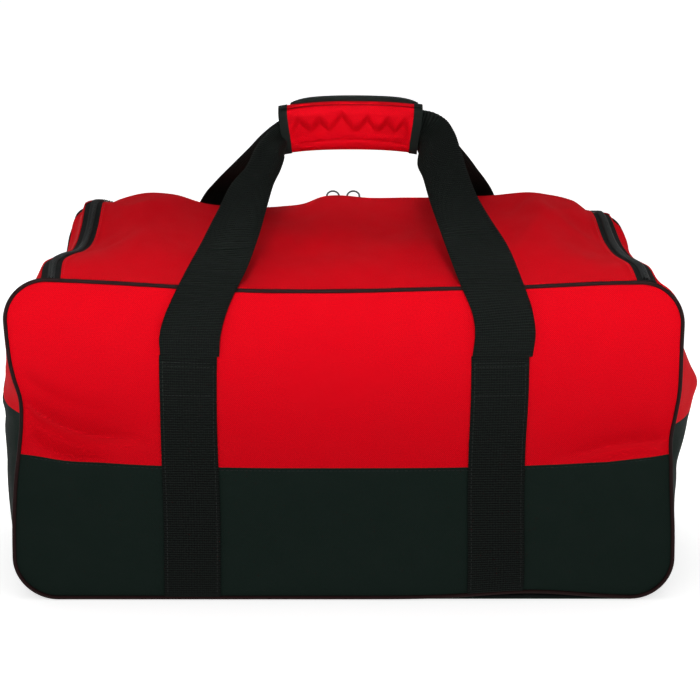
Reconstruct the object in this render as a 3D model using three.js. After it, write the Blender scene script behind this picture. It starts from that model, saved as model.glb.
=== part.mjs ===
// Hockey equipment bag: a U-zipped duffel with two webbing handles and a padded grip.
// Millimetres, +Z up. The origin is on the ground under the middle of the bag,
// X runs along its length and -Y is the side that the lid is hinged on.
import * as THREE from 'three';

// ---- Driving dimensions --------------------------------------------------------------------
const LENGTH = 600; // between the outer edges of the piping
const DEPTH = 300; // between the centre lines of the front and back piping
const HEIGHT = 296; // bottom to top of the piping
const CORNER = 40; // outer radius of the panels' corners
const FABRIC = 2.2; // coated fabric with its backing
const GAP = 0.4; // between pieces that touch

const PIPING_RADIUS = 3;
const PANEL_CROWN = 12; // how far the front and back panels belly out
const END_BULGE = 24; // how far the ends belly out
const PANEL_SEAM_Z = 130; // colour seam of the front and back panels
const END_SEAM_Z = 170; // colour seam of the ends

const ZIP_SIDE_X = 262; // centre line of the zip's side runs
const ZIP_BACK_Y = 124; // centre line of the zip's back run
const ZIP_CORNER = 30;
const ZIP_TAPE_WIDTH = 10;
const ZIP_TAPE = 1.2;
const COIL_WIDTH = 2.8;
const COIL_HEIGHT = 2.4;
const CREST = 29; // how far the top rises from the front seam to its crest
const CREST_Y = 86; // depth of the crest, in front of the zip's back run
const ZIP_RISE = 10.2; // how far the back run stands above the front seam

const WEBBING_WIDTH = 51;
const WEBBING = 2.2;
const STRAP_X = 137; // centre line of each strap
const STITCH_TOP_Z = 234; // where the straps leave the panels

const GRIP_X = 6; // the handles lie a little off centre
const GRIP_Y = -6;
const GRIP_Z = 411;
const GRIP_LENGTH = 133;
const GRIP_HALF_HEIGHT = 24.5;
const GRIP_HALF_DEPTH = 12;
const PAD = 7.4; // thickness of the grip's front and back walls
const PAD_EDGE = 3.6; // thickness of its bottom and top
const BINDING = 8; // width of the black tape on the grip's edges
const CORE_WIDTH = 38; // webbing width inside the grip, where it is gathered
const CORE_Y = 2.4; // each handle's webbing from the middle of the grip

const SLIDER_X = [-11.5, 8.9]; // the two sliders where the zip is closed
const SLIDER = { length: 12, width: 9, thickness: 2.2 };
const BOW = { length: 2.4, width: 7, height: 5, wall: 1.5 };
const RING_RADIUS = 6.2;
const RING_WIRE = 1;
const RING_LEAN = 45; // degrees behind upright

const RED = { color: 0xd0101c, roughness: 0.72, metalness: 0 };
const CHARCOAL = { color: 0x22282a, roughness: 0.8, metalness: 0 };
const BLACK = { color: 0x101311, roughness: 0.75, metalness: 0 };
const BOARD = { color: 0x1b1c1d, roughness: 0.6, metalness: 0 };
const GUNMETAL = { color: 0x3a3c3f, roughness: 0.35, metalness: 1 };

// ---- Helpers --------------------------------------------------------------------------------
const bag = new THREE.Group();

function add(name, geometry, look) {
  const mesh = new THREE.Mesh(geometry, new THREE.MeshStandardMaterial(look));
  mesh.name = name;
  bag.add(mesh);
  return mesh;
}

const lerp = THREE.MathUtils.lerp;
const smooth = THREE.MathUtils.smoothstep;

// A thin closed slab: a divided box whose points are moved by place(u, v, w).
// u and v run from 0 to 1 over the sheet, and w is 0 on its inner and 1 on its outer face.
function slab(columns, rows, place) {
  const geometry = new THREE.BoxGeometry(1, 1, 1, columns, rows, 1);
  const points = geometry.attributes.position;
  for (let i = 0; i < points.count; i += 1) {
    const [u, v, w] = [points.getX(i) + 0.5, points.getY(i) + 0.5, points.getZ(i) + 0.5];
    points.setXYZ(i, ...place(u, v, w));
  }
  geometry.computeVertexNormals();
  return geometry;
}

// Straight stretches need few rows and rounded corners need many: this maps an even 0..1
// onto the given stations.
function station(stations, t) {
  const place = t * (stations.length - 1);
  const low = Math.min(Math.floor(place), stations.length - 2);
  return lerp(stations[low], stations[low + 1], place - low);
}

// ---- The body's shape -----------------------------------------------------------------------
// Half width of the rounded rectangle at a height, drawn in by an inset.
function halfWidth(z, inset) {
  const radius = CORNER - inset;
  const into = Math.max(CORNER - z, z - (HEIGHT - CORNER), 0);
  return LENGTH / 2 - CORNER + Math.sqrt(Math.max(radius * radius - into * into, 0));
}

// How far a front or back panel's outer face stands out from the piping line.
function crown(x, z) {
  const across = 1 - (x / (LENGTH / 2)) ** 2;
  const up = 1 - ((z - HEIGHT / 2) / (HEIGHT / 2)) ** 2;
  return PANEL_CROWN * Math.max(across, 0) * Math.max(up, 0);
}

// How far the top rises above its flat outline at a depth.
function rise(y) {
  const front = (y + DEPTH / 2) / (CREST_Y + DEPTH / 2);
  const toZip = (y - CREST_Y) / (ZIP_BACK_Y - CREST_Y);
  const behind = Math.min((y - ZIP_BACK_Y) / (DEPTH / 2 - ZIP_BACK_Y), 1);
  if (toZip < 0) return CREST * Math.sin((Math.PI / 2) * Math.max(front, 0));
  if (behind < 0) return lerp(CREST, ZIP_RISE, toZip * toZip * (3 - 2 * toZip));
  return ZIP_RISE * (1 - behind * behind * (3 - 2 * behind));
}

// Height of the outer face of the top.
function topHeight(x, y) {
  const out = Math.max(Math.abs(x) - (LENGTH / 2 - CORNER), 0);
  return HEIGHT - CORNER + Math.sqrt(CORNER * CORNER - out * out) + rise(y);
}

// ---- Front and back panels ------------------------------------------------------------------
const PANEL_INSET = 2 * PIPING_RADIUS + 2 * GAP;

function cornerRows(inset, count) {
  const radius = CORNER - inset;
  const rows = [];
  for (let i = 0; i <= count; i += 1) {
    rows.push(CORNER - radius * Math.cos((Math.PI / 2) * (i / count)));
  }
  return rows;
}

// side is -1 for the front panel and 1 for the back one.
function panel(side, rows) {
  return slab(10, rows.length - 1, (u, v, w) => {
    const z = station(rows, v);
    const x = -side * (2 * u - 1) * halfWidth(z, PANEL_INSET);
    const y = side * (DEPTH / 2 + crown(x, z) - FABRIC * (1 - w));
    return [x, y, z];
  });
}

function addPanels() {
  const bottomRows = cornerRows(PANEL_INSET, 5);
  const topRows = bottomRows.map((z) => HEIGHT - z).reverse();
  const lower = [...bottomRows, 70, 100, PANEL_SEAM_Z - GAP / 2];
  const upper = [PANEL_SEAM_Z + GAP / 2, 165, 200, 230, ...topRows];
  for (const [name, side] of [['front', -1], ['back', 1]]) {
    add(`${name}_panel_upper`, panel(side, upper), RED);
    add(`${name}_panel_lower`, panel(side, lower), CHARCOAL);
  }
}

// ---- Piping ---------------------------------------------------------------------------------
// The rounded rectangle that the piping follows, starting at the middle of the bottom.
class PipingCurve extends THREE.Curve {
  constructor(y) {
    super();
    this.y = y;
    this.steps = [];
    const reach = LENGTH / 2 - CORNER;
    const radius = CORNER - PIPING_RADIUS;
    const corners = [[1, -1], [1, 1], [-1, 1], [-1, -1]];
    const joint = 1;
    this.steps.push([joint, PIPING_RADIUS]);
    corners.forEach(([sx, sz], index) => {
      const middle = [sx * reach, HEIGHT / 2 + sz * (HEIGHT / 2 - CORNER)];
      const start = -Math.PI / 2 + (Math.PI / 2) * index;
      for (let i = 0; i <= 5; i += 1) {
        const angle = start + (Math.PI / 2) * (i / 5);
        this.steps.push([middle[0] + radius * Math.cos(angle), middle[1] + radius * Math.sin(angle)]);
      }
    });
    this.steps.push([-joint, PIPING_RADIUS]);
  }

  getPoint(t, target = new THREE.Vector3()) {
    const last = this.steps.length - 1;
    const low = Math.min(Math.floor(t * last), last - 1);
    const [a, b] = [this.steps[low], this.steps[low + 1]];
    const part = t * last - low;
    return target.set(lerp(a[0], b[0], part), this.y, lerp(a[1], b[1], part));
  }

  getUtoTmapping(u) {
    return u;
  }
}

function addPiping() {
  const section = new THREE.Shape().absarc(0, 0, PIPING_RADIUS, 0, 2 * Math.PI);
  for (const [name, y] of [['front', -DEPTH / 2], ['back', DEPTH / 2]]) {
    const path = new PipingCurve(y);
    const steps = path.steps.length - 1;
    const options = { steps, extrudePath: path, curveSegments: 4, bevelEnabled: false };
    const piping = add(`${name}_piping`, new THREE.ExtrudeGeometry(section, options), BLACK);
    piping.position.z = GAP;
  }
}

// ---- Ends, bottom and the strip behind the zip ------------------------------------------------
const STRIP_Y = DEPTH / 2 - PIPING_RADIUS - GAP; // half depth of what lies between the pipings
const TOP_ANGLE = THREE.MathUtils.degToRad(69.5); // where an end meets the zip tape

// One end wraps round from the bottom edge to the zip. Each station is [angle, height]:
// angle turns round a corner and height runs up the straight stretch.
function endPoint(side, [angle, z], y, w) {
  const radius = CORNER - FABRIC * (1 - w);
  const middle = angle < 0 ? CORNER : HEIGHT - CORNER;
  const across = Math.abs(y) / (DEPTH / 2);
  const belly = Math.sin((Math.PI * z) / 340) ** 1.5 * (1 - across ** 4);
  const turned = smooth(angle, 0, TOP_ANGLE);
  const x = LENGTH / 2 - CORNER + radius * Math.cos(angle) + END_BULGE * belly * (1 - turned);
  const height = angle === 0 ? z : middle + radius * Math.sin(angle);
  return [side * x, y, height + rise(y) * turned];
}

function cornerStations(from, to, count) {
  const stations = [];
  for (let i = 0; i <= count; i += 1) {
    const angle = lerp(from, to, i / count);
    const middle = from < 0 ? CORNER : HEIGHT - CORNER;
    stations.push([angle, middle + CORNER * Math.sin(angle)]);
  }
  return stations;
}

function endSlab(side, stations) {
  return slab(10, stations.length - 1, (u, v, w) => {
    const place = stations[Math.round(v * (stations.length - 1))];
    return endPoint(side, place, side * (2 * u - 1) * STRIP_Y, w);
  });
}

function addEnds() {
  const straight = (heights) => heights.map((z) => [0, z]);
  const low = [
    ...cornerStations(-Math.PI / 2, 0, 6),
    ...straight([75, 110, 140, END_SEAM_Z - GAP / 2]),
  ];
  const high = [
    ...straight([END_SEAM_Z + GAP / 2, 195, 225]),
    ...cornerStations(0, TOP_ANGLE, 6),
  ];
  for (const [name, side] of [['left', -1], ['right', 1]]) {
    add(`${name}_end_upper`, endSlab(side, high), RED);
    add(`${name}_end_lower`, endSlab(side, low), CHARCOAL);
  }
}

function addBottom() {
  const length = LENGTH - 2 * CORNER - 2 * GAP;
  const panelMesh = add('bottom_panel', new THREE.BoxGeometry(length, 2 * STRIP_Y, FABRIC), CHARCOAL);
  panelMesh.position.z = FABRIC / 2;
  const board = add('base_board', new THREE.BoxGeometry(length - 16, 2 * STRIP_Y - 12, 3), BOARD);
  board.position.z = FABRIC + GAP + 1.5;
}

// Its front edge follows the rounded corners of the zip.
function addRearStrip() {
  const outer = ZIP_CORNER + ZIP_TAPE_WIDTH + 2 * GAP;
  const cornerX = ZIP_SIDE_X - ZIP_CORNER;
  const cornerY = ZIP_BACK_Y - ZIP_CORNER;
  const xs = [0, 90, 180, cornerX];
  for (let i = 1; i <= 6; i += 1) xs.push(cornerX + outer * Math.sin((Math.PI / 2) * (i / 6)) - GAP / 2);
  const stations = [...xs.slice(1).reverse().map((x) => -x), ...xs];
  add('rear_top_strip', slab(stations.length - 1, 5, (u, v, w) => {
    const x = stations[Math.round(u * (stations.length - 1))];
    const past = Math.max(Math.abs(x) - cornerX, 0);
    const edge = cornerY + Math.sqrt(Math.max(outer * outer - past * past, 0));
    const y = lerp(edge, STRIP_Y, v);
    return [x, y, topHeight(x, y) - FABRIC * (1 - w)];
  }), RED);
}

// ---- Zip and lid ----------------------------------------------------------------------------
// The U of the zip seen from above, from the front left round the back to the front right.
// offset is outward from the centre line.
function zipStations() {
  const stations = [];
  const cornerX = ZIP_SIDE_X - ZIP_CORNER;
  const cornerY = ZIP_BACK_Y - ZIP_CORNER;
  for (let i = 0; i < 8; i += 1) stations.push([-ZIP_SIDE_X, lerp(-STRIP_Y, cornerY, i / 8), Math.PI]);
  for (let i = 0; i <= 6; i += 1) stations.push([-cornerX, cornerY, Math.PI - (Math.PI / 2) * (i / 6)]);
  for (let i = 1; i < 6; i += 1) stations.push([lerp(-cornerX, cornerX, i / 6), ZIP_BACK_Y, Math.PI / 2]);
  for (let i = 0; i <= 6; i += 1) stations.push([cornerX, cornerY, Math.PI / 2 - (Math.PI / 2) * (i / 6)]);
  for (let i = 7; i >= 0; i -= 1) stations.push([ZIP_SIDE_X, lerp(-STRIP_Y, cornerY, i / 8), 0]);
  return stations;
}

// A strip that follows the zip between two offsets, from low to high above the top surface.
function zipStrip(from, to, low, high) {
  const stations = zipStations();
  return slab(stations.length - 1, 1, (u, v, w) => {
    const [x, y, angle] = stations[Math.round(u * (stations.length - 1))];
    const turning = Math.abs(x) === ZIP_SIDE_X - ZIP_CORNER && y === ZIP_BACK_Y - ZIP_CORNER;
    const reach = lerp(to, from, 1 - v) + (turning ? ZIP_CORNER : 0);
    const px = x + reach * Math.cos(angle);
    const py = y + reach * Math.sin(angle);
    return [px, py, topHeight(px, py) + lerp(low, high, w)];
  });
}

function addZip() {
  const half = GAP / 2;
  const tapeTop = -2 * GAP;
  const coilBottom = 0;
  const tape = [tapeTop - ZIP_TAPE, tapeTop];
  const coil = [coilBottom, coilBottom + COIL_HEIGHT];
  add('body_zip_tape', zipStrip(half, ZIP_TAPE_WIDTH, ...tape), BLACK);
  add('body_zip_teeth', zipStrip(half, COIL_WIDTH, ...coil), BLACK);
  add('lid_zip_tape', zipStrip(-ZIP_TAPE_WIDTH, -half, ...tape), BLACK);
  add('lid_zip_teeth', zipStrip(-COIL_WIDTH, -half, ...coil), BLACK);
}

function addLid() {
  const inset = ZIP_TAPE_WIDTH + 2 * GAP;
  const radius = ZIP_CORNER - inset;
  const half = ZIP_SIDE_X - inset;
  const turnY = ZIP_BACK_Y - ZIP_CORNER;
  const rows = [-STRIP_Y, -120, -90, -60, -30, 0, 30, 60, CREST_Y];
  for (let i = 0; i <= 6; i += 1) rows.push(turnY + radius * Math.sin((Math.PI / 2) * (i / 6)));
  add('lid_panel', slab(8, rows.length - 1, (u, v, w) => {
    const y = station(rows, v);
    const past = Math.max(y - turnY, 0);
    const reach = half - radius + Math.sqrt(Math.max(radius * radius - past * past, 0));
    const x = (2 * u - 1) * reach;
    return [x, y, topHeight(x, y) - FABRIC * (1 - w)];
  }), RED);
}

function addSliders() {
  const outline = new THREE.Shape();
  const [long, wide] = [SLIDER.length / 2, SLIDER.width / 2];
  outline.moveTo(-long, -wide).lineTo(long - 3, -wide).lineTo(long, -wide + 2);
  outline.lineTo(long, wide - 2).lineTo(long - 3, wide).lineTo(-long, wide).closePath();
  const bow = new THREE.Shape();
  bow.moveTo(-BOW.width / 2, 0).lineTo(BOW.width / 2, 0).lineTo(BOW.width / 2, BOW.height - 1.5);
  bow.lineTo(BOW.width / 2 - 1.5, BOW.height).lineTo(1.5 - BOW.width / 2, BOW.height);
  bow.lineTo(-BOW.width / 2, BOW.height - 1.5).closePath();
  const [side, top] = [BOW.width / 2 - BOW.wall, BOW.height - BOW.wall];
  const hole = new THREE.Path().moveTo(-side, 0.8).lineTo(side, 0.8).lineTo(side, top).lineTo(-side, top);
  bow.holes.push(hole.closePath());
  const base = topHeight(0, ZIP_BACK_Y) + COIL_HEIGHT + GAP;
  const bowBase = base + SLIDER.thickness + GAP;
  ['left', 'right'].forEach((name, index) => {
    const plate = new THREE.ExtrudeGeometry(outline, { depth: SLIDER.thickness, bevelEnabled: false });
    const body = add(`slider_${name}_body`, plate, GUNMETAL);
    body.position.set(SLIDER_X[index], ZIP_BACK_Y, base);
    body.rotation.z = index === 0 ? 0 : Math.PI;
    const arch = new THREE.ExtrudeGeometry(bow, { depth: BOW.length, bevelEnabled: false });
    arch.translate(0, 0, -BOW.length / 2).rotateX(Math.PI / 2).rotateZ(Math.PI / 2);
    const loop = add(`slider_${name}_bow`, arch, GUNMETAL);
    loop.position.set(SLIDER_X[index], ZIP_BACK_Y, bowBase);
    addRing(name, SLIDER_X[index], bowBase + (0.8 + top) / 2);
  });
}

function addRing(name, x, z) {
  const wire = new THREE.TorusGeometry(RING_RADIUS, RING_WIRE, 6, 18);
  wire.rotateX(Math.PI / 2).translate(0, 0, RING_RADIUS);
  const ring = add(`pull_${name}_ring`, wire, GUNMETAL);
  ring.position.set(x, ZIP_BACK_Y, z);
  ring.rotation.x = -THREE.MathUtils.degToRad(RING_LEAN);
}

// ---- Webbing --------------------------------------------------------------------------------
// Four straps stitched flat on the panels, from the bottom seam to where the handles leave.
function addStitchedWebbing() {
  const bottom = 2 * PIPING_RADIUS + 2;
  for (const [face, side] of [['front', -1], ['back', 1]]) {
    for (const [end, sign] of [['left', -1], ['right', 1]]) {
      add(`${face}_${end}_webbing`, slab(2, 8, (u, v, w) => {
        const z = lerp(bottom, STITCH_TOP_Z, v);
        const x = sign * STRAP_X - side * (u - 0.5) * WEBBING_WIDTH;
        return [x, side * (DEPTH / 2 + crown(x, z) + GAP + w * WEBBING), z];
      }), BLACK);
    }
  }
}

// A handle's free loop. Each station of the right leg is [x, y, z, lean]: a point on the
// middle of the strap, and how far its face is tipped up from facing straight out, in degrees.
// y is measured from the panel side towards the grip, and the left leg mirrors the right.
const LEG = [
  [137, -159, 234.6, 0],
  [136.5, -159.5, 262, 4],
  [131, -158, 288, 14],
  [120, -147, 312, 32],
  [108, -125, 336, 45],
  [101, -93, 362, 50],
  [95, -55, 386, 46],
  [93, -33, 400, 28],
  [88, -17, 408, 10],
];

function handle(side) {
  const coreY = GRIP_Y + side * CORE_Y;
  const end = GRIP_LENGTH / 2;
  const reachOf = (y) => (side < 0 ? y : -y);
  const half = (sign) => [
    ...LEG.map(([x, y, z, lean]) => [sign * x, reachOf(y), z, lean]),
    ...[end + 3, end - 4, 0.3 * end].map((x) => [GRIP_X + sign * x, coreY, GRIP_Z, 0]),
  ];
  const stops = [...half(side), ...half(-side).reverse()];
  return ribbon(stops, side, end);
}

function ribbon(stops, side, coreEnd) {
  const middles = stops.map(([x, y, z]) => new THREE.Vector3(x, y, z));
  const path = new THREE.CatmullRomCurve3(middles, false, 'centripetal');
  const leans = stops.map((stop) => THREE.MathUtils.degToRad(stop[3]));
  return slab(2, 72, (u, v, w) => {
    const middle = path.getPoint(v);
    const along = path.getTangent(v);
    const lean = station(leans, v);
    const face = new THREE.Vector3(0, side * Math.cos(lean), Math.sin(lean));
    const across = new THREE.Vector3().crossVectors(along, face).normalize();
    const out = new THREE.Vector3().crossVectors(across, along);
    const gather = smooth(Math.abs(middle.x - GRIP_X), coreEnd + 4, coreEnd + 22);
    const width = lerp(CORE_WIDTH, WEBBING_WIDTH, gather);
    middle.addScaledVector(across, (u - 0.5) * width);
    return middle.addScaledVector(out, (w - 0.5) * WEBBING).toArray();
  });
}

// ---- Padded grip ----------------------------------------------------------------------------
// Sections are drawn looking along +X, with y across and z up from the middle of the grip.
function lengthwise(outline, from, to) {
  const shape = new THREE.Shape(outline.map(([y, z]) => new THREE.Vector2(y, z)));
  const geometry = new THREE.ExtrudeGeometry(shape, { depth: to - from, bevelEnabled: false });
  geometry.rotateX(Math.PI / 2).rotateZ(Math.PI / 2).translate(GRIP_X + from, GRIP_Y, GRIP_Z);
  return geometry;
}

// The wrap has the grip's front wall and bottom. grow thickens it outward for the bindings.
function wrapOutline(grow) {
  const [d, h] = [GRIP_HALF_DEPTH + grow, GRIP_HALF_HEIGHT + grow];
  const inner = GRIP_HALF_DEPTH - PAD;
  const floor = PAD_EDGE - GRIP_HALF_HEIGHT;
  const top = GRIP_HALF_HEIGHT - PAD_EDGE - 5 * GAP;
  return [
    [-d, 5 - h], [5 - d, -h], [8.5, -h], [8.5, floor], [-inner, floor],
    [-inner, top], [-d, top],
  ];
}

// The flap has its back wall and top, and closes over the front wall.
function flapOutline(grow) {
  const [d, h] = [GRIP_HALF_DEPTH + grow, GRIP_HALF_HEIGHT + grow];
  const inner = GRIP_HALF_DEPTH - PAD;
  const foot = PAD_EDGE - GRIP_HALF_HEIGHT + GAP;
  const roof = GRIP_HALF_HEIGHT - PAD_EDGE;
  return [
    [inner, foot], [d, foot], [d, h - 5], [d - 5, h], [5 - d, h],
    [-d, h - 3], [-d, roof], [inner, roof],
  ];
}

function addGrip() {
  const half = GRIP_LENGTH / 2;
  const edge = half - BINDING;
  const grow = 0.6;
  const spans = { left: [-half, -edge - GAP], right: [edge + GAP, half] };
  add('grip_wrap', lengthwise(wrapOutline(0), -edge, edge), RED);
  add('grip_flap', lengthwise(flapOutline(0), -edge, edge), RED);
  for (const [name, [from, to]] of Object.entries(spans)) {
    add(`wrap_binding_${name}`, lengthwise(wrapOutline(grow), from, to), BLACK);
    add(`flap_binding_${name}`, lengthwise(flapOutline(grow), from, to), BLACK);
  }
  const roof = GRIP_HALF_HEIGHT;
  const band = [[2, roof + GAP], [5.5, roof + GAP], [5.5, roof + GAP + 1], [2, roof + GAP + 1]];
  add('flap_edge_band', lengthwise(band, -edge, edge), BLACK);
  addFastener();
}

// Hook and loop strips between the top of the front wall and the flap.
function addFastener() {
  const [from, to] = [0.5 - GRIP_HALF_DEPTH, PAD - GRIP_HALF_DEPTH - 0.5];
  const reach = GRIP_LENGTH / 2 - BINDING - 2;
  const under = GRIP_HALF_HEIGHT - PAD_EDGE;
  const strip = (low, high) => [[from, low], [to, low], [to, high], [from, high]];
  add('loop_strip', lengthwise(strip(under - 0.9, under - 0.3), -reach, reach), BLACK);
  add('hook_strip', lengthwise(strip(under - 1.8, under - 1.2), -reach, reach), BLACK);
}

// ---- Assembly -------------------------------------------------------------------------------
addPanels();
addPiping();
addEnds();
addBottom();
addRearStrip();
addLid();
addZip();
addSliders();
addStitchedWebbing();
add('near_handle_webbing', handle(-1), BLACK);
add('far_handle_webbing', handle(1), BLACK);
addGrip();

export default bag;
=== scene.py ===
import math

import bpy
import numpy as np
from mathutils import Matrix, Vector


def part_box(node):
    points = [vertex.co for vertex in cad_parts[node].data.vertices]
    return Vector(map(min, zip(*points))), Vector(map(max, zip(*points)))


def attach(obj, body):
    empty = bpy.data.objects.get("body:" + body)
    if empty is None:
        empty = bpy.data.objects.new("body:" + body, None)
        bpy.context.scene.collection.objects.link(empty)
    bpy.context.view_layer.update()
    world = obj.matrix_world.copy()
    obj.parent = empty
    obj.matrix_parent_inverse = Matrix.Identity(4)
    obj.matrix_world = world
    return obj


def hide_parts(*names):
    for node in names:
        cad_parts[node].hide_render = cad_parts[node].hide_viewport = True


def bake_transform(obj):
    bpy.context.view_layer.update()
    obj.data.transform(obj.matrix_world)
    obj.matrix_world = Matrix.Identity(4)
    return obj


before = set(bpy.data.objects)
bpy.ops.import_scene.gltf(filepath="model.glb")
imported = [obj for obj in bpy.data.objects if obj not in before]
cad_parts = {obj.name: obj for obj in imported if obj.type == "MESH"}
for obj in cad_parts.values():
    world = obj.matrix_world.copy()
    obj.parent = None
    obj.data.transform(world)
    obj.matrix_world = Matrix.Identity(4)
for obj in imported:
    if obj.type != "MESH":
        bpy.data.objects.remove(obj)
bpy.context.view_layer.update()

MM = 0.001

# ---- Driving sizes, in millimetres, as the CAD part has them ---------------------------------
LENGTH, DEPTH, HEIGHT, CORNER = 600.0, 300.0, 296.0, 40.0
FACE_Y = DEPTH / 2
PIPING_RADIUS = 1.8
ZIP_X, ZIP_Y, ZIP_CORNER = 262.0, 124.0, 30.0
CREST_Y = 88.0
STRAP_X, WEBBING_WIDTH, WEBBING = 137.0, 51.0, 1.7
STITCH_TOP = 234.0
CLOTH = 1.2  # fabric with its backing
RIB = 2.3  # pitch of the webbing's ribs
GRIP_X, GRIP_Y, GRIP_Z = 6.0, -6.0, 411.0
GRIP_HALF = 66.5
BINDING = 8.0
PANEL_EDGE = 1.5  # from a panel's outline to its cloth's edge
SLOPE_END = math.radians(73.0)  # how far an end rolls over before the zip
END_SEAMS = (("left", -1, 174.0), ("right", 1, 166.0))
FACES = (("front", -1), ("back", 1))
COIL_PITCH = 2.9
HEM = 8.6  # from the zip's middle to the folded edge beside it
AMBIENT = 0.46
FLOOR_HALF = 30.0
# Name, place, target, width and height in metres, watts, and spread in degrees.
BAG_MIDDLE = (0.0, 0.0, 0.15)
LIGHTS = [
    ("key", (-0.35, -2.4, 1.2), BAG_MIDDLE, (1.4, 0.9), 8.0, 180.0),
    ("strip", (0.0, -1.15, 0.9), (0.0, -0.15, 0.3), (1.5, 0.12), 0.68, 14.0),
    ("upper", (0.0, -1.1, 1.02), (0.0, 0.0, 0.425), (0.14, 0.03), 0.036, 7.0),
    ("top", (0.0, -0.1, 2.3), BAG_MIDDLE, (1.6, 1.2), 7.0, 180.0),
    ("fill", (1.6, -2.0, 0.8), BAG_MIDDLE, (1.2, 1.2), 4.0, 180.0),
]


# ---- Camera, light and floor ------------------------------------------------------------------
def make_camera():
    """Stands in front of the bag, a little above it, as the reference view does."""
    data = bpy.data.cameras.new("camera")
    camera = bpy.data.objects.new("camera", data)
    bpy.context.collection.objects.link(camera)
    data.sensor_width = 36.0
    data.lens = 108.1
    camera.location = (0.0056, -1.9374, 0.7315)
    camera.rotation_euler = (math.radians(90.0 - 15.5), 0.0, 0.0)
    data.clip_start, data.clip_end = 0.05, 60.0
    bpy.context.scene.camera = camera


def area_light(name, location, target, size, power, spread):
    data = bpy.data.lights.new(name, "AREA")
    data.shape, data.size, data.size_y = "RECTANGLE", size[0], size[1]
    data.energy = power
    data.spread = math.radians(spread)
    light = bpy.data.objects.new(name, data)
    bpy.context.collection.objects.link(light)
    light.location = location
    aim = Vector(target) - Vector(location)
    light.rotation_euler = aim.to_track_quat("-Z", "Y").to_euler()


def make_studio():
    world = bpy.data.worlds.new("studio")
    world.use_nodes = True
    tree = world.node_tree
    tree.nodes["Background"].inputs["Color"].default_value = (1, 1, 1, 1)
    seen = tree.nodes.new("ShaderNodeLightPath").outputs["Is Camera Ray"]
    strength = tree.nodes.new("ShaderNodeMapRange")
    strength.inputs["To Min"].default_value = AMBIENT
    strength.inputs["To Max"].default_value = 1.05
    tree.links.new(seen, strength.inputs["Value"])
    tree.links.new(strength.outputs["Result"], tree.nodes["Background"].inputs["Strength"])
    bpy.context.scene.world = world
    bpy.context.scene.view_settings.view_transform = "Standard"
    for light in LIGHTS:
        area_light(*light)
    mesh = bpy.data.meshes.new("floor")
    corners = [(sx * FLOOR_HALF, sy * FLOOR_HALF, 0) for sx, sy in ((-1, -1), (1, -1), (1, 1), (-1, 1))]
    mesh.from_pydata(corners, [], [(0, 1, 2, 3)])
    floor = bpy.data.objects.new("floor", mesh)
    bpy.context.collection.objects.link(floor)
    paper = plain_material("floor_paper", (0.9, 0.9, 0.9), 0.9)
    surface = paper.node_tree.nodes["Principled BSDF"]
    surface.inputs["Emission Color"].default_value = (1, 1, 1, 1)
    surface.inputs["Emission Strength"].default_value = 0.62
    floor.data.materials.append(paper)


# ---- Materials --------------------------------------------------------------------------------
class Graph:
    """A short way to build a material's nodes."""

    def __init__(self, name):
        self.material = bpy.data.materials.new(name)
        self.material.use_nodes = True
        self.tree = self.material.node_tree
        self.shader = self.tree.nodes["Principled BSDF"]

    def add(self, kind, settings=None, **inputs):
        node = self.tree.nodes.new("ShaderNode" + kind)
        for key, value in (settings or {}).items():
            setattr(node, key, value)
        for key, value in inputs.items():
            place = node.inputs[int(key[1:])] if key[0] == "i" and key[1:].isdigit() else node.inputs[key]
            if isinstance(value, bpy.types.NodeSocket):
                self.tree.links.new(value, place)
            else:
                place.default_value = value
        return node.outputs[0]

    def math(self, operation, a, b=0.0):
        return self.add("Math", {"operation": operation}, i0=a, i1=b)

    def cloth_uv(self):
        """The cloth's own coordinates in metres, along and across its weave."""
        uv = self.tree.nodes.new("ShaderNodeUVMap")
        uv.uv_map = "cloth"
        parts = self.tree.nodes.new("ShaderNodeSeparateXYZ")
        self.tree.links.new(uv.outputs[0], parts.inputs[0])
        return uv.outputs[0], parts.outputs[0], parts.outputs[1]

    def wave(self, along, pitch):
        return self.math("SINE", self.math("MULTIPLY", along, 2 * math.pi / pitch))

    def noise(self, vector, scale, detail=3.0, rough=0.6):
        return self.add("TexNoise", Vector=vector, Scale=scale, Detail=detail, Roughness=rough)

    def ramp(self, value, stops):
        node = self.tree.nodes.new("ShaderNodeValToRGB")
        self.tree.links.new(value, node.inputs[0])
        elements = node.color_ramp.elements
        while len(elements) < len(stops):
            elements.new(0.5)
        for element, (place, colour) in zip(elements, stops):
            element.position = place
            element.color = (*colour, 1.0)
        return node.outputs[0]

    def bump(self, height, distance, normal=None, strength=1.0):
        node = self.tree.nodes.new("ShaderNodeBump")
        node.inputs["Strength"].default_value = strength
        node.inputs["Distance"].default_value = distance
        self.tree.links.new(height, node.inputs["Height"])
        if normal is not None:
            self.tree.links.new(normal, node.inputs["Normal"])
        return node.outputs[0]

    def link(self, output, name):
        self.tree.links.new(output, self.shader.inputs[name])

    def set(self, **values):
        for key, value in values.items():
            self.shader.inputs[key.replace("_", " ")].default_value = value


def plain_material(name, colour, roughness):
    graph = Graph(name)
    graph.set(Base_Color=(*colour, 1.0), Roughness=roughness)
    return graph.material


def shades(colour, spread):
    """Darker and lighter versions of a colour."""
    return [tuple(c * (1 - spread) for c in colour), tuple(c * (1 + spread) for c in colour)]


def greys(*stops):
    """Ramp stops that carry one value in all three channels."""
    return [(place, (value,) * 3) for place, value in stops]


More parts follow.
